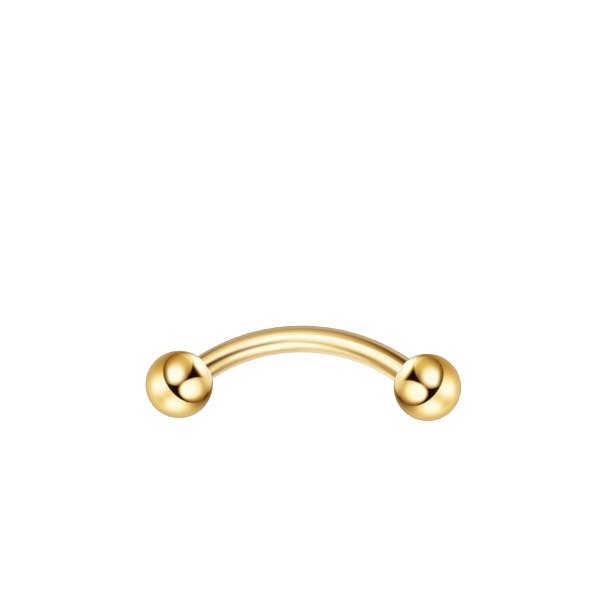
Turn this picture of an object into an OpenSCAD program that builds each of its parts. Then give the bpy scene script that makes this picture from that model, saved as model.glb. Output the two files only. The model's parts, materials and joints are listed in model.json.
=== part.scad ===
// Curved eyebrow barbell: a bent round bar with a ball screwed on each of its threaded ends.
// It lies as it comes to rest by itself, on both balls and on the middle of the bar.
// X runs from ball to ball, the bar bows towards +Y, and Z is up from the surface it lies on.
// The origin is on that surface, under the middle of the barbell's outline seen from above.

/* [Balls] */
// Diameter of each ball
ball_d = 3; // [2.5:0.1:5]
// Straight distance between the two balls, the length that a barbell is sold by
wear_length = 8; // [6:0.5:12]

/* [Bar] */
// Diameter of the bar
bar_d = 1.2; // [1:0.05:1.6]
// Radius of the bend, to the centre line of the bar
bend_r = 7.4; // [6.5:0.1:12]
// Straight stretch between a ball and the start of the bend
neck_l = 0.05; // [0:0.05:0.5]

/* [Thread] */
// Pitch of the thread, drawn as rings
thread_pitch = 0.25; // [0.2:0.05:0.35]
// Depth of the thread's grooves
thread_depth = 0.13; // [0.08:0.01:0.16]
// Step from the bar's surface down to the crests of the thread
shoulder_w = 0.05; // [0.04:0.01:0.1]
// Plain run-out between the last groove and the shoulder
run_out_l = 0.12; // [0.05:0.01:0.3]

/* [Socket] */
// Depth of the seat that takes the shoulder of the bar
seat_depth = 0.1; // [0.06:0.01:0.2]
// Metal left between the end of the drilled hole and the far side of the ball
far_wall = 0.6; // [0.4:0.05:1]
// Free length between the tip of the bar and the drilled hole's cone
tip_gap = 0.12; // [0.05:0.01:0.3]

/* [Clearances] */
// Radial clearance round the bar in its seat
seat_clearance = 0.02; // [0.01:0.01:0.04]
// Radial clearance round the thread in its hole
thread_clearance = 0.03; // [0.02:0.01:0.04]
// Gap between the bar's shoulder and the floor of the seat
shoulder_gap = 0.01; // [0.01:0.01:0.03]

/* [Hidden] */
$fn = 96;

gold = "#E2BA62";
ball_gold = "#DDB45C";

// A jobber drill leaves a cone of 118 degrees at the end of its hole
drill_half_angle = 59;
// Flats at the crest and at the root of the thread, as shares of the pitch
crest_flat = thread_pitch / 8;
root_flat = thread_pitch / 8;

ball_r = ball_d / 2;
bar_r = bar_d / 2;
crest_r = bar_r - shoulder_w;
root_r = crest_r - thread_depth;
seat_r = bar_r + seat_clearance;
hole_r = crest_r + thread_clearance;

// Stations along the axis of one end, measured from the ball's centre towards the bar
rim_z = sqrt(ball_r * ball_r - bar_r * bar_r);
bend_start_z = rim_z + neck_l;
seat_z = rim_z - seat_depth;
shoulder_z = seat_z + shoulder_gap;
hole_end_z = -(ball_r - far_wall);
hole_wall_z = hole_end_z + hole_r / tan(drill_half_angle);
tip_z = hole_wall_z + tip_gap;

// Grooves of the thread that fit between the bar's chamfered tip and its run-out
first_groove_z = tip_z + thread_depth + crest_flat;
groove_count = floor((shoulder_z - run_out_l - first_groove_z) / thread_pitch);

// Each end's axis is tangent to the bend and passes through the centre of its ball
half_span = (wear_length + ball_d) / 2;
half_angle = asin(half_span / norm([bend_r, bend_start_z])) - atan(bend_start_z / bend_r);
rise = bend_r * (1 - cos(half_angle)) + bend_start_z * sin(half_angle);

// The bar leans down from the balls until the middle of its underside reaches the surface
lean = asin((ball_r - bar_r) / rise);
outline_mid_y = (rise * cos(lean) + bar_r - ball_r) / 2;

// Lays what is drawn in the plane of the bend, with the ball centres on X, down on the surface
module laid_down() {
    translate([0, -outline_mid_y, ball_r])
        rotate([-lean, 0, 0])
            children();
}

// Puts what is drawn round +Z, from the ball's centre towards the bar, at one end
module at_end(side) {
    mirror([side < 0 ? 1 : 0, 0, 0])
        translate([half_span, 0, 0])
            rotate([0, 0, -half_angle])
                rotate([0, -90, 0])
                    children();
}

// Outline of one groove of the thread, from the tip side to the shoulder side
function groove(z) = let (slope = (thread_pitch - crest_flat - root_flat) / 2) [
    [crest_r, z],
    [root_r, z + slope],
    [root_r, z + slope + root_flat],
    [crest_r, z + thread_pitch - crest_flat]
];

// Outline of a straight end: chamfered tip, thread, shoulder and neck
function end_outline() = concat(
    [[0, tip_z], [root_r, tip_z], [crest_r, tip_z + thread_depth]],
    [for (i = [0 : groove_count - 1]) each groove(first_groove_z + i * thread_pitch)],
    [[crest_r, shoulder_z], [bar_r, shoulder_z], [bar_r, bend_start_z], [0, bend_start_z]]
);

module bar_end() {
    rotate_extrude()
        polygon(end_outline());
}

module bend() {
    translate([0, rise - bend_r, 0])
        rotate([0, 0, 90 - half_angle])
            rotate_extrude(angle = 2 * half_angle)
                translate([bend_r, 0])
                    circle(r = bar_r);
}

module bar() {
    color(gold)
        laid_down() {
            bend();
            at_end(-1) bar_end();
            at_end(1) bar_end();
        }
}

// Drilled hole for the threaded end, with the wider seat for the bar at its mouth
module socket() {
    rotate_extrude()
        polygon([
            [0, hole_end_z],
            [hole_r, hole_wall_z],
            [hole_r, seat_z],
            [seat_r, seat_z],
            [seat_r, ball_r],
            [0, ball_r]
        ]);
}

module ball(side) {
    color(ball_gold)
        laid_down()
            at_end(side)
                difference() {
                    sphere(r = ball_r);
                    socket();
                }
}

bar();
ball(-1);  // ball_left
ball(1);  // ball_right
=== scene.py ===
"""Curved eyebrow barbell, dressed for its picture.

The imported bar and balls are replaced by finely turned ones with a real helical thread, in steel that is
polished and then coated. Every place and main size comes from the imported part. It lies on a white table
in soft studio light.
"""

import json
import math

import bmesh
import bpy
from mathutils import Matrix, Vector


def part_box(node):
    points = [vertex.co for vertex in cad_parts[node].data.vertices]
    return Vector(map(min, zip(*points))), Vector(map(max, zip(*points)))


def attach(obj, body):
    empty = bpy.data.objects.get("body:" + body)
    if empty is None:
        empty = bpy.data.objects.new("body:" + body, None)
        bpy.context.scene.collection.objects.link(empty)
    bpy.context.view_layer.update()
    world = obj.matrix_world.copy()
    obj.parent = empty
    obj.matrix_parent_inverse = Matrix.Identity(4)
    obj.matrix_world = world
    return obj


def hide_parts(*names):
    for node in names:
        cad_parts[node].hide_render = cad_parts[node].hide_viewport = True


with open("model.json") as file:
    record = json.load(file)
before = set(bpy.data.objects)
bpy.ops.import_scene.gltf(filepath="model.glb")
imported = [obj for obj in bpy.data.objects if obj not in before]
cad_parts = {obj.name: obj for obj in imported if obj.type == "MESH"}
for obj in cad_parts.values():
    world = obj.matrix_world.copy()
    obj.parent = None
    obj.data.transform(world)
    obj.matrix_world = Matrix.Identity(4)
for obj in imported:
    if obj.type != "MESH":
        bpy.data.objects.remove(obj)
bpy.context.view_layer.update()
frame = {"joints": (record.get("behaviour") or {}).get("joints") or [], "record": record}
scene = bpy.context.scene

MM = 0.001

# Finely turned details, in millimetres, as the part's source has them
THREAD_PITCH = 0.25
THREAD_DEPTH = 0.13
# Each flat at the thread's crest and root is this share of the pitch
FLAT_SHARE = 0.125
SHOULDER_STEP = 0.05
RUN_OUT = 0.12
SEAT_DEPTH = 0.1
SEAT_CLEARANCE = 0.02
SHOULDER_GAP = 0.01
THREAD_CLEARANCE = 0.03
FAR_WALL = 0.6
TIP_GAP = 0.12
DRILL_HALF_ANGLE = math.radians(59)

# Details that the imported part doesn't have, in millimetres.
# The female thread is cut outwards from the bore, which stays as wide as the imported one.
BORE_GROOVE = 0.09
# Edges are broken by the tumbling before the coating
EDGE_BREAK = 0.018

# How finely the pieces are drawn, with lengths in millimetres
STEPS_ROUND = 112
STEPS_PER_PITCH = 14
CHAMFER_STEPS = 6
BEND_STEP = 0.13
BALL_STEP = math.radians(2.5)
# Points closer than this become one, and edges with a sharper turn than this stay crisp
WELD_DISTANCE = 0.0004
SHARP_ANGLE = math.radians(25)
# A groove or a shade smaller than this counts as none
NEXT_TO_NOTHING = 0.001
# Share of the light that the thread's root loses
GROOVE_SHADE = 0.8
# A part with no bent length stays straight, whatever its bend radius
ANY_BEND_R = 10.0


def colour(code):
    """Linear red, green, blue and alpha of an sRGB hex value."""
    shares = [int(code[i:i + 2], 16) / 255 for i in (1, 3, 5)]
    return [c / 12.92 if c <= 0.04045 else ((c + 0.055) / 1.055) ** 2.4 for c in shares] + [1.0]


def add(tree, kind, inputs=(), **settings):
    """Adds a node, sets its own settings, and then sets or links its inputs, given in order or by name. A
    node among them stands for its first output in use. Returns the new node."""
    node = tree.nodes.new(kind)
    for setting, value in settings.items():
        setattr(node, setting, value)
    by_socket = inputs if isinstance(inputs, dict) else dict(enumerate(inputs))
    for socket, value in by_socket.items():
        if isinstance(value, bpy.types.Node):
            value = next(output for output in value.outputs if output.enabled)
        if isinstance(value, bpy.types.NodeSocket):
            tree.links.new(value, node.inputs[socket])
        else:
            node.inputs[socket].default_value = value
    return node


# The bar and its balls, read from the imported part, in millimetres

def ball_centre(node):
    """Middle of a packed ball."""
    low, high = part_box(node)
    return (low + high) / 2 / MM


SCREWS_OUT = {joint["child"]: Vector(joint["axis"]).normalized() for joint in frame["joints"]}
BALL_CENTRES = {node: ball_centre(node) for node in ("ball_left", "ball_right")}
BALLS_MIDDLE = (BALL_CENTRES["ball_left"] + BALL_CENTRES["ball_right"]) / 2
# The balls lie on the surface, so their centres are as high as their radius
BALL_R = BALL_CENTRES["ball_left"].z
piercing = next(mount for mount in frame["record"]["mounts"] if mount["name"] == "piercing")
BAR_R = piercing["dims"]["r_mm"]
BAR_MIDDLE = Vector(piercing["pos_m"]) / MM

# Each end is tangent to the bend and passes through the centre of its ball
half_span = BALL_CENTRES["ball_right"].x
to_middle = BAR_MIDDLE - BALLS_MIDDLE
rise = to_middle.length
half_angle = math.acos(SCREWS_OUT["ball_right"].x)
# Rise of the bend alone, as a share of its radius
bend_share = 1 - math.cos(half_angle)
BEND_R = (half_span * math.sin(half_angle) - rise * math.cos(half_angle)) / bend_share
straight_part = (rise * math.sin(half_angle) - half_span * bend_share) / bend_share
# Stations of the bend's end and of a ball's centre along the bar, from its middle
BENT_HALF = BEND_R * half_angle
BALL_STATION = BENT_HALF + straight_part

CREST_R = BAR_R - SHOULDER_STEP
SEAT_R = BAR_R + SEAT_CLEARANCE
BORE_R = CREST_R + THREAD_CLEARANCE
# Stations along the axis of one end, from the ball's centre towards the bar
RIM = math.sqrt(BALL_R ** 2 - BAR_R ** 2)
SEAT = RIM - SEAT_DEPTH
SHOULDER = SEAT + SHOULDER_GAP
BORE_WALL = -(BALL_R - FAR_WALL) + BORE_R / math.tan(DRILL_HALF_ANGLE)
TIP = BORE_WALL + TIP_GAP


def steps(start, end, step):
    """Places from start to end, both included, no further apart than step."""
    count = max(1, math.ceil(abs(end - start) / step))
    return [start + (end - start) * i / count for i in range(count + 1)]


def share(value, start, end):
    """How far value is from start to end, from 0 to 1."""
    return min(1.0, max(0.0, (value - start) / (end - start)))


# Each point of an outline has its station on the turning axis, its radius without the thread, how far the
# root of the thread's groove lies from there, and its shade: how little light reaches it, from 0 to 1

def bar_outline():
    """Outline of the straightened bar, from tip to tip."""
    shoulder, tip = BALL_STATION - SHOULDER, BALL_STATION - TIP
    chamfer = tip - THREAD_DEPTH
    half = [(x, BAR_R, 0.0, 0.0) for x in steps(0, shoulder - EDGE_BREAK, BEND_STEP)]
    half += [(shoulder, BAR_R - EDGE_BREAK, 0.0, 0.0), (shoulder, CREST_R, 0.0, 0.0)]
    # The groove runs out before the shoulder, and its root meets the chamfer at the tip
    for x in steps(shoulder, chamfer, THREAD_PITCH / STEPS_PER_PITCH)[1:]:
        deepened = share(x, shoulder + RUN_OUT / 2, shoulder + RUN_OUT * 2)
        half.append((x, CREST_R, -THREAD_DEPTH * deepened, 0.0))
    for x in steps(chamfer, tip, THREAD_DEPTH / CHAMFER_STEPS)[1:]:
        cut = share(x, chamfer, tip)
        half.append((x, CREST_R - THREAD_DEPTH * cut, -THREAD_DEPTH * (1 - cut), 0.0))
    half.append((tip, 0.0, 0.0, 0.0))
    return [(-x, *rest) for x, *rest in reversed(half[1:])] + half


def ball_outline():
    """Outline of a ball, from its far pole round to the bar's seat and down its threaded hole."""
    edge_r = SEAT_R + EDGE_BREAK
    mouth = math.sqrt(BALL_R ** 2 - edge_r ** 2)
    outline = [
        (BALL_R * math.cos(a), BALL_R * math.sin(a), 0.0, 0.0)
        for a in steps(0, math.pi - math.asin(edge_r / BALL_R), BALL_STEP)
    ]

    def inside(x, r, groove=0.0):
        # The deeper in the hole, the less of its round mouth a place sees
        depth = mouth + x
        return x, r, groove, 1 - BORE_R ** 2 / (BORE_R ** 2 + depth ** 2)

    outline += [(-(mouth - EDGE_BREAK / 2), SEAT_R, 0.0, 0.0), inside(-SEAT, SEAT_R), inside(-SEAT, BORE_R)]
    # The groove starts at the seat and runs out towards the drilled cone
    for x in steps(-SEAT, -BORE_WALL, THREAD_PITCH / STEPS_PER_PITCH)[1:]:
        cut = share(x, -SEAT, -SEAT + RUN_OUT) * (1 - share(x, -BORE_WALL - 2 * RUN_OUT, -BORE_WALL))
        outline.append(inside(x, BORE_R, BORE_GROOVE * cut))
    outline.append(inside(BALL_R - FAR_WALL, 0.0))
    return outline


def turned_part_tree():
    """Node tree that turns an outline round X, cuts its thread as a right-handed helix, and bends the part
    in the XY plane."""
    tree = bpy.data.node_groups.new("turned_part", "GeometryNodeTree")
    for label, kind, value in (
        ("Outline", "Geometry", None),
        ("Steps round", "Int", STEPS_ROUND),
        ("Thread pitch", "Float", THREAD_PITCH),
        ("Flat share", "Float", FLAT_SHARE),
        ("Groove shade", "Float", GROOVE_SHADE),
        ("Bend radius", "Float", ANY_BEND_R),
        ("Bent half length", "Float", 0.0),
        ("Sharp angle", "Float", SHARP_ANGLE),
        ("Weld distance", "Float", WELD_DISTANCE),
        ("Finish", "Material", None),
        ("Thread finish", "Material", None),
    ):
        socket = tree.interface.new_socket(label, in_out="INPUT", socket_type="NodeSocket" + kind)
        if value is not None:
            socket.default_value = value
    tree.interface.new_socket("Part", in_out="OUTPUT", socket_type="NodeSocketGeometry")
    given = add(tree, "NodeGroupInput").outputs
    outline = given["Outline"]

    # A grid with one ring of points for each point of the outline, and one more point than steps round,
    # because the last column closes the ring on the first
    rings = add(tree, "GeometryNodeAttributeDomainSize", [outline], component="MESH").outputs["Point Count"]
    columns = add(tree, "ShaderNodeMath", [given["Steps round"], 1], operation="ADD")
    part = add(tree, "GeometryNodeMeshGrid", {"Vertices X": rings, "Vertices Y": columns})
    index = add(tree, "GeometryNodeInputIndex")
    rings_before = add(tree, "ShaderNodeMath", [index, columns], operation="DIVIDE")
    ring = add(tree, "ShaderNodeMath", [rings_before], operation="FLOOR")
    column = add(tree, "ShaderNodeMath", [index, columns], operation="MODULO")
    turn = add(tree, "ShaderNodeMath", [column, given["Steps round"]], operation="DIVIDE")

    # What the outline says of each ring
    position = add(tree, "GeometryNodeInputPosition")
    outline_point = add(tree, "GeometryNodeSampleIndex", {
        "Geometry": outline, "Value": position, "Index": ring,
    }, data_type="FLOAT_VECTOR")
    station, radius, groove = add(tree, "ShaderNodeSeparateXYZ", [outline_point]).outputs
    outline_shade = add(tree, "GeometryNodeInputNamedAttribute", {"Name": "shade"}, data_type="FLOAT")
    hole_shade = add(tree, "GeometryNodeSampleIndex", {
        "Geometry": outline, "Value": outline_shade, "Index": ring,
    }, data_type="FLOAT")

    # The groove follows the helix. Its flat root lies halfway along each pitch, and straight flanks join it
    # to the flat crests.
    pitches = add(tree, "ShaderNodeMath", [station, given["Thread pitch"]], operation="DIVIDE")
    wound = add(tree, "ShaderNodeMath", [pitches, turn], operation="SUBTRACT")
    along_pitch = add(tree, "ShaderNodeMath", [wound], operation="FRACT")
    past_root = add(tree, "ShaderNodeMath", [along_pitch, 0.5], operation="SUBTRACT")
    from_root = add(tree, "ShaderNodeMath", [past_root], operation="ABSOLUTE")
    flank_start = add(tree, "ShaderNodeMath", [given["Flat share"], 2], operation="DIVIDE")
    flank_end = add(tree, "ShaderNodeMath", [0.5, flank_start], operation="SUBTRACT")
    depth_share = add(tree, "ShaderNodeMapRange", {
        "Value": from_root, "From Min": flank_start, "From Max": flank_end, "To Min": 1.0, "To Max": 0.0,
    })
    cut_radius = add(tree, "ShaderNodeMath", [groove, depth_share, radius], operation="MULTIPLY_ADD")
    upright = add(tree, "ShaderNodeCombineXYZ", [station, cut_radius, 0.0])
    angle = add(tree, "ShaderNodeMath", [turn, 2 * math.pi], operation="MULTIPLY")
    straight = add(tree, "ShaderNodeVectorRotate", {
        "Vector": upright, "Angle": angle,
    }, rotation_type="X_AXIS")

    # A groove's root and the inside of a hole get less light. It is stored as a shade that the cut thread's
    # material paints in as darker colour.
    thread = add(tree, "ShaderNodeMath", [groove], operation="ABSOLUTE")
    is_cut = add(tree, "ShaderNodeMath", [thread, 0.0], operation="GREATER_THAN")
    in_groove = add(tree, "ShaderNodeMath", [depth_share, is_cut], operation="MULTIPLY")
    groove_shade = add(tree, "ShaderNodeMath", [in_groove, given["Groove shade"]], operation="MULTIPLY")
    groove_light = add(tree, "ShaderNodeMath", [1, groove_shade], operation="SUBTRACT")
    hole_light = add(tree, "ShaderNodeMath", [1, hole_shade], operation="SUBTRACT")
    light = add(tree, "ShaderNodeMath", [hole_light, groove_light], operation="MULTIPLY")
    shade = add(tree, "ShaderNodeMath", [1, light], operation="SUBTRACT")
    for name, kind, value in (
        ("thread", "FLOAT", thread), ("shade", "FLOAT", shade), ("straight", "FLOAT_VECTOR", straight),
    ):
        part = add(tree, "GeometryNodeStoreNamedAttribute", {
            "Geometry": part, "Name": name, "Value": value,
        }, data_type=kind, domain="POINT")

    # The middle of the part swings round the centre of the bend, and what lies beyond it goes straight on
    x, y, z = add(tree, "ShaderNodeSeparateXYZ", [straight]).outputs
    bent_from = add(tree, "ShaderNodeMath", [given["Bent half length"], -1], operation="MULTIPLY")
    bent = add(tree, "ShaderNodeClamp", [x, bent_from, given["Bent half length"]])
    beyond = add(tree, "ShaderNodeMath", [x, bent], operation="SUBTRACT")
    swing = add(tree, "ShaderNodeMath", [bent, given["Bend radius"]], operation="DIVIDE")
    below = add(tree, "ShaderNodeMath", [given["Bend radius"], -1], operation="MULTIPLY")
    bend_centre = add(tree, "ShaderNodeCombineXYZ", [0.0, below, 0.0])
    unbent = add(tree, "ShaderNodeCombineXYZ", [beyond, y, z])
    placed = add(tree, "ShaderNodeVectorRotate", {
        "Vector": unbent, "Center": bend_centre, "Angle": swing,
    }, rotation_type="Z_AXIS", invert=True)
    part = add(tree, "GeometryNodeSetPosition", {"Geometry": part, "Position": placed})
    part = add(tree, "GeometryNodeMergeByDistance", {"Geometry": part, "Distance": given["Weld distance"]})

    # Smooth all over, but crisp at the turned edges outside the thread. The stored values are read back by
    # name, because the merge has renumbered the points.
    stored_thread = add(tree, "GeometryNodeInputNamedAttribute", {"Name": "thread"}, data_type="FLOAT")
    threaded = add(tree, "ShaderNodeMath", [stored_thread, NEXT_TO_NOTHING], operation="GREATER_THAN")
    unthreaded = add(tree, "ShaderNodeMath", [1, threaded], operation="SUBTRACT")
    edge_angle = add(tree, "GeometryNodeInputMeshEdgeAngle").outputs["Unsigned Angle"]
    sharp = add(tree, "ShaderNodeMath", [edge_angle, given["Sharp angle"]], operation="GREATER_THAN")
    crisp = add(tree, "ShaderNodeMath", [sharp, unthreaded], operation="MULTIPLY")
    part = add(tree, "GeometryNodeSetShadeSmooth", {"Geometry": part, "Shade Smooth": True})
    part = add(tree, "GeometryNodeSetShadeSmooth", {
        "Geometry": part, "Selection": crisp, "Shade Smooth": False,
    }, domain="EDGE")

    # The thread and what lies in shade aren't polished
    part = add(tree, "GeometryNodeRealizeInstances", [part])
    part = add(tree, "GeometryNodeSetMaterial", {"Geometry": part, "Material": given["Finish"]})
    stored_shade = add(tree, "GeometryNodeInputNamedAttribute", {"Name": "shade"}, data_type="FLOAT")
    shaded = add(tree, "ShaderNodeMath", [stored_shade, NEXT_TO_NOTHING], operation="GREATER_THAN")
    unpolished = add(tree, "ShaderNodeMath", [threaded, shaded], operation="MAXIMUM")
    part = add(tree, "GeometryNodeSetMaterial", {
        "Geometry": part, "Selection": unpolished, "Material": given["Thread finish"],
    })
    add(tree, "NodeGroupOutput", [part])
    return tree


def turned_piece(name, outline, tree, place, sizes):
    """Plain mesh object, in metres, that the tree makes of an outline in millimetres, put in its place."""
    # The tree gets station, radius and groove as a point's X, Y and Z, and the shade as an attribute
    outline_mesh = bpy.data.meshes.new(name + "_outline")
    points = [point[:3] for point in outline]
    edges = [(i, i + 1) for i in range(len(outline) - 1)]
    outline_mesh.from_pydata(points, edges, [])
    shade = outline_mesh.attributes.new("shade", "FLOAT", "POINT")
    shade.data.foreach_set("value", [point[3] for point in outline])
    blank = bpy.data.objects.new(name + "_blank", outline_mesh)
    scene.collection.objects.link(blank)
    modifier = blank.modifiers.new("turned_part", "NODES")
    modifier.node_group = tree
    for socket in tree.interface.items_tree:
        if socket.in_out == "INPUT" and socket.name in sizes:
            modifier[socket.identifier] = sizes[socket.name]
    depsgraph = bpy.context.evaluated_depsgraph_get()
    mesh = bpy.data.meshes.new_from_object(blank.evaluated_get(depsgraph), depsgraph=depsgraph)
    bpy.data.objects.remove(blank)
    bpy.data.meshes.remove(outline_mesh)
    mesh.name = name
    mesh.transform(place @ Matrix.Scale(MM, 4))
    faces = bmesh.new()
    faces.from_mesh(mesh)
    bmesh.ops.recalc_face_normals(faces, faces=faces.faces)
    faces.to_mesh(mesh)
    faces.free()
    piece = bpy.data.objects.new(name, mesh)
    scene.collection.objects.link(piece)
    return piece


def placement(origin, x_axis, y_axis):
    """Matrix that gives what is drawn this origin, in millimetres, and these X and Y directions."""
    x_axis = x_axis.normalized()
    z_axis = x_axis.cross(y_axis).normalized()
    facing = Matrix((x_axis, z_axis.cross(x_axis), z_axis)).transposed().to_4x4()
    return Matrix.Translation(origin * MM) @ facing


# Steel with a gold-coloured coating of titanium nitride, laid on as a vapour. It is a few thousandths of a
# millimetre thick, so the polish of the steel shows through it and its colour is nearly the same all over.
POLISHED_GOLD = {"thin": "#FFE39E", "thick": "#FBDD94", "edge on": "#FFF9EA"}
# Light that gets into the cut thread's grooves, or into a ball's hole, meets the gold many times before it
# leaves, so they are painted deeper in colour as painted reflections, and brown in the depths as painted
# shade. Their dark brown edge-on tint is painted shade on their grazing reflections.
CUT_GOLD_AND_PAINTED_SHADE = {"thin": "#FFD277", "thick": "#FAC96B", "edge on": "#7A4E12", "painted shade in the depths": "#6B430F"}

# The clouds and the marks in the metal are noise of this much detail
CLOUD_DETAIL = 3.0
MARK_DETAIL = 4.0
MARK_ROUGHNESS = 0.6
# Nearly all of a noise's values lie between these
NOISE_LOW, NOISE_HIGH = 0.3, 0.7


def coated_steel(name, gold, pattern, haze, ripple):
    """Coated steel. Its pattern may run along the straightened piece, and says how its marks are stretched
    and how many clouds and marks a millimetre has. Haze is the least and the most roughness, and ripple is
    the height of the marks in millimetres."""
    material = bpy.data.materials.new(name)
    material.use_nodes = True
    tree = material.node_tree
    tree.nodes.clear()
    # Places on the straightened piece are stored in millimetres, and an object's own places are in metres
    if pattern["along"]:
        where = add(tree, "ShaderNodeAttribute", attribute_name="straight").outputs["Vector"]
        per_mm = 1.0
    else:
        where = add(tree, "ShaderNodeTexCoord").outputs["Object"]
        per_mm = 1 / MM
    even = add(tree, "ShaderNodeMapping", {"Vector": where, "Scale": [per_mm] * 3})
    stretch = [times * per_mm for times in pattern["stretch"]]
    stretched = add(tree, "ShaderNodeMapping", {"Vector": where, "Scale": stretch})
    clouds = add(tree, "ShaderNodeTexNoise", {
        "Vector": even, "Scale": pattern["clouds_per_mm"], "Detail": CLOUD_DETAIL,
    }).outputs["Fac"]
    marks = add(tree, "ShaderNodeTexNoise", {
        "Vector": stretched, "Scale": pattern["marks_per_mm"],
        "Detail": MARK_DETAIL, "Roughness": MARK_ROUGHNESS,
    }).outputs["Fac"]
    rough = add(tree, "ShaderNodeMapRange", {
        "Value": clouds, "From Min": NOISE_LOW, "From Max": NOISE_HIGH,
        "To Min": haze[0], "To Max": haze[1],
    })
    tint = add(tree, "ShaderNodeMix", {
        "Factor": clouds, "A": colour(gold["thin"]), "B": colour(gold["thick"]),
    }, data_type="RGBA")
    # Painted shade: the colour darkens to brown towards the thread's roots and down the holes
    if "painted shade in the depths" in gold:
        shade = add(tree, "ShaderNodeAttribute", attribute_name="shade").outputs["Fac"]
        tint = add(tree, "ShaderNodeMix", {
            "Factor": shade, "A": tint, "B": colour(gold["painted shade in the depths"]),
        }, data_type="RGBA")
    bump = add(tree, "ShaderNodeBump", {"Height": marks, "Strength": 1.0, "Distance": ripple * MM})
    metal = add(tree, "ShaderNodeBsdfPrincipled", {
        "Base Color": tint, "Metallic": 1.0, "Roughness": rough, "Normal": bump,
        "Specular Tint": colour(gold["edge on"]),
    })
    add(tree, "ShaderNodeOutputMaterial", {"Surface": metal})
    return material


# A ball is tumbled until it mirrors, which leaves clouds of faint haze about a millimetre across, and an
# unevenness of about a fifth of a millimetre
polished_ball = coated_steel(
    "coated_steel_tumbled", POLISHED_GOLD,
    {"along": False, "stretch": (1, 1, 1), "clouds_per_mm": 1.1, "marks_per_mm": 5.0},
    haze=(0.04, 0.075), ripple=0.0004,
)
# The bar is drawn wire, polished lengthwise: faint lines run along it. Real ones lie closer than 0.02 mm,
# too fine to show here, so they are drawn about 0.1 mm apart.
drawn_bar = coated_steel(
    "coated_steel_drawn", POLISHED_GOLD,
    {"along": True, "stretch": (0.06, 1, 1), "clouds_per_mm": 0.9, "marks_per_mm": 8.0},
    haze=(0.06, 0.10), ripple=0.0005,
)
# The thread and the holes are cut and aren't polished, so they are duller, with fine marks round them
# Its colours carry painted shade in the grooves and holes, and a deeper gold painted for their inner
# reflections
cut_thread_painted_shade = coated_steel(
    "coated_steel_cut_thread", CUT_GOLD_AND_PAINTED_SHADE,
    {"along": True, "stretch": (2, 1, 1), "clouds_per_mm": 3.0, "marks_per_mm": 9.0},
    haze=(0.16, 0.28), ripple=0.003,
)

turned_part = turned_part_tree()
bar_place = placement(BAR_MIDDLE, Vector((1, 0, 0)), to_middle)
bar = turned_piece("bent_bar", bar_outline(), turned_part, bar_place, {
    "Bend radius": BEND_R, "Bent half length": BENT_HALF, "Finish": drawn_bar, "Thread finish": cut_thread_painted_shade,
})
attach(bar, "bar")
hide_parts("bar")

balls = {}
for name, node in (("left_ball", "ball_left"), ("right_ball", "ball_right")):
    ball_place = placement(BALL_CENTRES[node], SCREWS_OUT[node], to_middle)
    ball = turned_piece(name, ball_outline(), turned_part, ball_place, {
        "Finish": polished_ball, "Thread finish": cut_thread_painted_shade,
    })
    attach(ball, node)
    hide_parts(node)
    balls[node] = ball

# The camera looks straight down. Its place comes from the photograph: how many pixels wide that is, how
# much of the object a pixel takes in, how many pixels right of the picture's middle and below it the middle
# between the balls lies, and how far the line through the balls slopes.
PHOTO_SIDE = 605
PIXEL_MM = 0.0443
BALLS_RIGHT_OF_MIDDLE = 0.8
BALLS_BELOW_MIDDLE = 83.4
BALL_LINE_SLOPE = math.radians(0.69)
# Lens and sensor are in millimetres, and what the camera sees lies between these distances in metres
LENS, SENSOR = 120.0, 36.0
CLIP_START, CLIP_END = 0.001, 10.0

right = Vector((math.cos(BALL_LINE_SLOPE), math.sin(BALL_LINE_SLOPE), 0))
up = Vector((-right.y, right.x, 0))
distance = PIXEL_MM * PHOTO_SIDE * LENS / SENSOR
aim = BALLS_MIDDLE - right * BALLS_RIGHT_OF_MIDDLE * PIXEL_MM + up * BALLS_BELOW_MIDDLE * PIXEL_MM
eye = aim + Vector((0, 0, distance))
camera_data = bpy.data.cameras.new("camera")
camera_data.lens, camera_data.sensor_width = LENS, SENSOR
camera_data.clip_start, camera_data.clip_end = CLIP_START, CLIP_END
camera = bpy.data.objects.new("camera", camera_data)
camera.matrix_world = placement(eye, right, up)
scene.collection.objects.link(camera)
scene.camera = camera

# Studio. Polished gold shows only what stands round it, so each piece has its own surroundings of lamps and
# screens, which nothing else mirrors.

def screen(label, azimuth, elevation, radius, soft, tone, reach=None, inside=()):
    """A lamp or screen. The direction of its middle, its radius, and half the width of its soft edge are in
    degrees. Its tone is how bright it looks in the gold or, in a list of warmths, how warm its light is. An
    oval one also has reach, the direction of its second focus, and its radius is then the mean angle to
    both. What is painted inside it stays within its edge."""
    foci = [(azimuth, elevation)] + ([reach] if reach else [])
    return {"label": label, "foci": foci, "radius": radius, "soft": soft, "tone": tone, "inside": inside}


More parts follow.
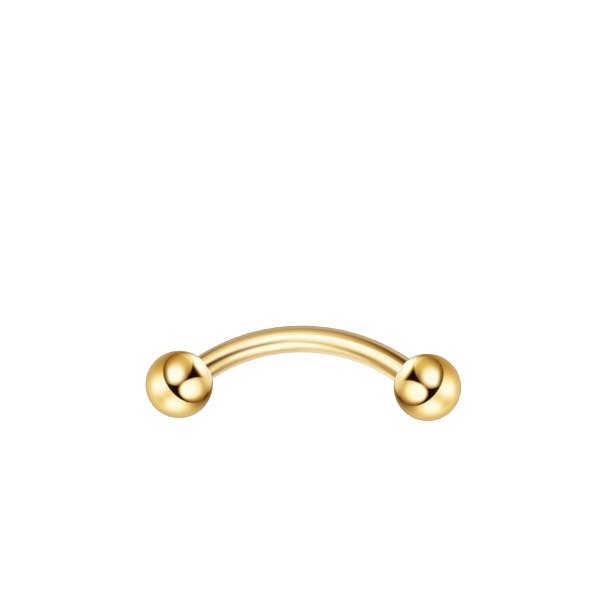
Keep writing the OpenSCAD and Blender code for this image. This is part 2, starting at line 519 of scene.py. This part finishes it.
# Each list has the tone of its background first, and a later row lies in front of an earlier one. Round a
# ball, azimuth 0 is the picture's right and 90 its top, and elevation 90 is the camera. The right ball's
# surroundings mirror the left one's.
BALL_STUDIO = {
    "brightness": (0.05, (
        screen("upper lamp", 125, 80, 70, 1, 0.15, reach=(100, -35), inside=(
            screen("its side", 60, -15, 40, 30, 0.7),
            screen("its glow", 100, 30, 35, 30, 0.85),
            screen("its bulb", 115, 55, 33, 15, 0.98),
        )),
        screen("right lamp", -65, 75, 60, 1, 0.1, reach=(-10, -20), inside=(
            screen("its side", 0, 15, 45, 25, 0.7),
            screen("its glow", -20, 40, 35, 15, 0.93),
            screen("its bulb", -30, 55, 30, 10, 0.98),
        )),
        screen("low lamp", 25, -65, 45, 10, 0.85, reach=(35, -10), inside=(
            screen("its bulb", 55, -20, 30, 15, 1.0),
        )),
        screen("left part of the wall's frame", -165, -15, 70, 10, 0.3),
        screen("wall", -140, -35, 90, 1, 0.75, inside=(
            screen("its foot", 0, -90, 30, 15, 0.65),
            screen("its upper shade", 100, -10, 40, 40, 0.5),
            screen("its right shade", 25, 5, 65, 35, 0.0),
            screen("its middle shade", -140, 20, 25, 20, 0.0),
            screen("its right glow", 35, -45, 25, 10, 1.0),
            screen("its left glow", -165, 30, 30, 60, 1.1),
            screen("its lower glow", -105, 15, 35, 25, 0.98),
            screen("its far left glow", -170, 10, 20, 25, 1.0),
        )),
    )),
    "warmth": (0.85, (
        screen("foot of the wall", 0, -90, 45, 10, 0.5),
        screen("right side of the wall", -35, -40, 15, 10, 0.4),
        screen("right glow of the wall", 35, -45, 25, 10, 0.5),
        screen("lower glow of the wall", -105, 20, 20, 10, 0.6),
        screen("top of the upper lamp", 95, -20, 20, 15, 1.0),
        screen("right side of the upper lamp", 75, 5, 10, 15, 1.2),
        screen("upper left of the wall", 145, 0, 15, 15, 1.1),
        screen("lower left of the wall", -140, -30, 15, 10, 1.1),
        screen("upper lamp's bulb", 115, 55, 35, 10, 0.4),
        screen("right lamp's bulb", -30, 55, 25, 10, 0.5),
    )),
}
# Round the bar, azimuth 0 is +X, 90 is +Y, and elevation 90 is straight up
BAR_STUDIO = {
    "brightness": (0.8, (
        screen("edge of the table", 100, 75, 115, 20, 0.1),
        screen("wall beyond", 85, 78, 114, 33, 0.98),
        screen("dark part of the wall", 90, 40, 52, 24, 0.0),
        screen("low part of the wall", 100, 15, 28, 18, 0.7),
        screen("left part of the wall", 140, -10, 30, 5, 0.5),
        screen("under the bar", 90, -80, 25, 15, 0.45),
        screen("near shade", -35, 0, 26, 20, 0.55),
        screen("near screen", -130, -12, 42, 3, 0.93),
        screen("lamp overhead", 160, 60, 42, 4, 1.0),
        screen("end of the lamp", 128, 33, 32, 3, 0.76),
        screen("lamp beyond", 90, 40, 5, 27, 1.1),
        screen("shade under the lamp", 65, 10, 10, 5, 0.3),
        screen("right screen", 0, 24, 40, 3, 0.85),
        screen("dark slot", 30, 28, 38, 13, 0.25),
        screen("slot's shade", -35, 78, 2, 27, 0.28),
        screen("line in the lamp", -130, 65, 18, 7, 0.7),
        screen("left screen", -130, 40, 13, 15, 0.5),
        screen("left screen's side", -150, 20, 25, 6, 0.63),
        screen("left screen's end", -135, 0, 0, 37, 0.4),
        screen("left glow", 175, 70, 25, 20, 0.97),
        screen("near lamp", -100, -10, 15, 35, 0.75),
    )),
    "warmth": (0.35, (
        screen("table", 0, -90, 60, 25, 0.1),
        screen("under the bar", 90, -80, 25, 15, 0.5),
        screen("near side of the lamp", -85, 35, 25, 20, 0.85),
        screen("wall beyond", 95, 20, 5, 35, 0.9),
        screen("end of the lamp", 135, 30, 35, 5, 0.7),
        screen("right screen", 0, 25, 40, 10, 0.7),
        screen("left screen", -170, 15, 55, 20, 0.7),
        screen("right part of the wall", 55, 35, 30, 5, 0.8),
        screen("slot's shade", -20, 70, 10, 15, 0.2),
    )),
}
# What the gold shows at each brightness: in pale light, and in light that other gold has warmed
TONES = (
    {"bright": 0.0, "pale": "#1A0500", "warm": "#1A0500"},
    {"bright": 0.2, "pale": "#492D06", "warm": "#4B2B05"},
    {"bright": 0.45, "pale": "#8A6E3E", "warm": "#9E681C"},
    {"bright": 0.7, "pale": "#C7AF88", "warm": "#D7AB4D"},
    {"bright": 0.88, "pale": "#F3E0BC", "warm": "#F9E092"},
    {"bright": 1.0, "pale": "#FFFFF2", "warm": "#FFFFE4"},
)
# Light is about this power of how bright it looks
SEEN_TO_LIGHT = 2.2
# In metres. They are so far from the small piece inside them that only the direction of a lamp counts.
SURROUNDINGS_RADIUS = 0.5
SURROUNDINGS_SUBDIVISIONS = 5


def painted(tree, look, tone, rows, mirrored):
    """Paints the rows over a tone, and returns the tone that shows in the direction look."""
    for row in rows:
        angles = []
        for azimuth, elevation in row["foci"]:
            turn = math.radians(180 - azimuth if mirrored else azimuth)
            lift = math.radians(elevation)
            focus = (math.cos(lift) * math.cos(turn), math.cos(lift) * math.sin(turn), math.sin(lift))
            nearness = add(tree, "ShaderNodeVectorMath", [look, focus], operation="DOT_PRODUCT")
            angles.append(add(tree, "ShaderNodeMath", [nearness], operation="ARCCOSINE"))
        away = angles[0]
        if len(angles) > 1:
            both = add(tree, "ShaderNodeMath", angles, operation="ADD")
            away = add(tree, "ShaderNodeMath", [both, 0.5], operation="MULTIPLY")
        cover = add(tree, "ShaderNodeMapRange", {
            "Value": away, "From Min": math.radians(row["radius"] - row["soft"]),
            "From Max": math.radians(row["radius"] + row["soft"]), "To Min": 1.0, "To Max": 0.0,
        }, interpolation_type="SMOOTHSTEP")
        own = painted(tree, look, row["tone"], row["inside"], mirrored)
        tone = add(tree, "ShaderNodeMix", {"Factor": cover, "A": tone, "B": own}, label=row["label"])
    return tone


def painted_light(name, studio, mirrored):
    """Material that sends out what a studio's lists of brightness and warmth say, by direction."""
    material = bpy.data.materials.new(name)
    material.use_nodes = True
    material.cycles.emission_sampling = "NONE"
    tree = material.node_tree
    tree.nodes.clear()
    here = add(tree, "ShaderNodeTexCoord").outputs["Object"]
    look = add(tree, "ShaderNodeVectorMath", [here], operation="NORMALIZE")
    brightness = painted(tree, look, *studio["brightness"], mirrored)
    warmth = painted(tree, look, *studio["warmth"], mirrored)
    light = add(tree, "ShaderNodeMath", [brightness, SEEN_TO_LIGHT], operation="POWER", use_clamp=True)
    ramps = []
    for kind in ("pale", "warm"):
        ramp = add(tree, "ShaderNodeValToRGB", [light])
        stops = ramp.color_ramp.elements
        for row in TONES[1:-1]:
            stops.new(row["bright"] ** SEEN_TO_LIGHT)
        for stop, row in zip(stops, TONES):
            stop.position = row["bright"] ** SEEN_TO_LIGHT
            stop.color = colour(row[kind])
        ramps.append(ramp)
    # A few lamps are warmer than the warm tones, so the factor may pass 1
    shown = add(tree, "ShaderNodeMix", {
        "Factor": warmth, "A": ramps[0], "B": ramps[1],
    }, data_type="RGBA", clamp_factor=False)
    # The gold multiplies what it mirrors by its own colour, so that is divided out beforehand
    thin, thick = (Vector(colour(POLISHED_GOLD[coating])[:3]) for coating in ("thin", "thick"))
    sent = add(tree, "ShaderNodeVectorMath", [shown, (thin + thick) / 2], operation="DIVIDE")
    glow = add(tree, "ShaderNodeEmission", [sent])
    # The other pieces lie inside this sphere too, and what they mirror is seen through it
    clear = add(tree, "ShaderNodeBsdfTransparent")
    both = add(tree, "ShaderNodeAddShader", [glow, clear])
    add(tree, "ShaderNodeOutputMaterial", {"Surface": both})
    return material


def surroundings(name, studio, receiver, place, mirrored=False):
    """A sphere of painted light round one piece, which only that piece mirrors."""
    mesh = bpy.data.meshes.new(name)
    shell = bmesh.new()
    bmesh.ops.create_icosphere(shell, subdivisions=SURROUNDINGS_SUBDIVISIONS, radius=SURROUNDINGS_RADIUS)
    shell.to_mesh(mesh)
    shell.free()
    mesh.materials.append(painted_light(name, studio, mirrored))
    sphere = bpy.data.objects.new(name, mesh)
    scene.collection.objects.link(sphere)
    sphere.matrix_world = place
    for ray in ("camera", "diffuse", "transmission", "volume_scatter", "shadow"):
        setattr(sphere, "visible_" + ray, False)
    only = bpy.data.collections.new(name + "_mirrored_by")
    only.objects.link(receiver)
    sphere.light_linking.receiver_collection = only


for node, ball in balls.items():
    # Set square to the line from the ball to the camera
    to_eye = eye - BALL_CENTRES[node]
    across = up.cross(to_eye)
    place = placement(BALL_CENTRES[node], across, to_eye.cross(across))
    surroundings(node + "_surroundings", BALL_STUDIO, ball, place, mirrored=node == "ball_right")
surroundings("bar_surroundings", BAR_STUDIO, bar, Matrix.Translation(BAR_MIDDLE * MM))
# The photograph is put together from pictures of single pieces, so they don't mirror each other
for piece in (bar, *balls.values()):
    piece.visible_glossy = False

# White table top, not mirrored in the gold. Its half side is in metres.
TABLE_HALF = 1.5
table_mesh = bpy.data.meshes.new("table_top")
corners = [(x * TABLE_HALF, y * TABLE_HALF, 0) for x, y in ((-1, -1), (1, -1), (1, 1), (-1, 1))]
table_mesh.from_pydata(corners, [], [(0, 1, 2, 3)])
table = bpy.data.objects.new("table_top", table_mesh)
scene.collection.objects.link(table)
table.visible_glossy = False
paper = bpy.data.materials.new("matt_white_paper")
paper.use_nodes = True
paper.node_tree.nodes.clear()
matt = add(paper.node_tree, "ShaderNodeBsdfDiffuse", [colour("#F2F2F0")])
add(paper.node_tree, "ShaderNodeOutputMaterial", [matt])
table_mesh.materials.append(paper)

# Soft light from all round for the table. The background is white, and the gold doesn't mirror it.
TABLE_LIGHT = 2.2
world = bpy.data.worlds.new("studio")
world.use_nodes = True
scene.world = world
world.node_tree.nodes.clear()
light_path = add(world.node_tree, "ShaderNodeLightPath").outputs
strength = add(world.node_tree, "ShaderNodeMath", [
    light_path["Is Diffuse Ray"], TABLE_LIGHT, light_path["Is Camera Ray"],
], operation="MULTIPLY_ADD")
white = add(world.node_tree, "ShaderNodeBackground", [(1, 1, 1, 1), strength])
add(world.node_tree, "ShaderNodeOutputWorld", [white])

scene.view_settings.view_transform = "Standard"
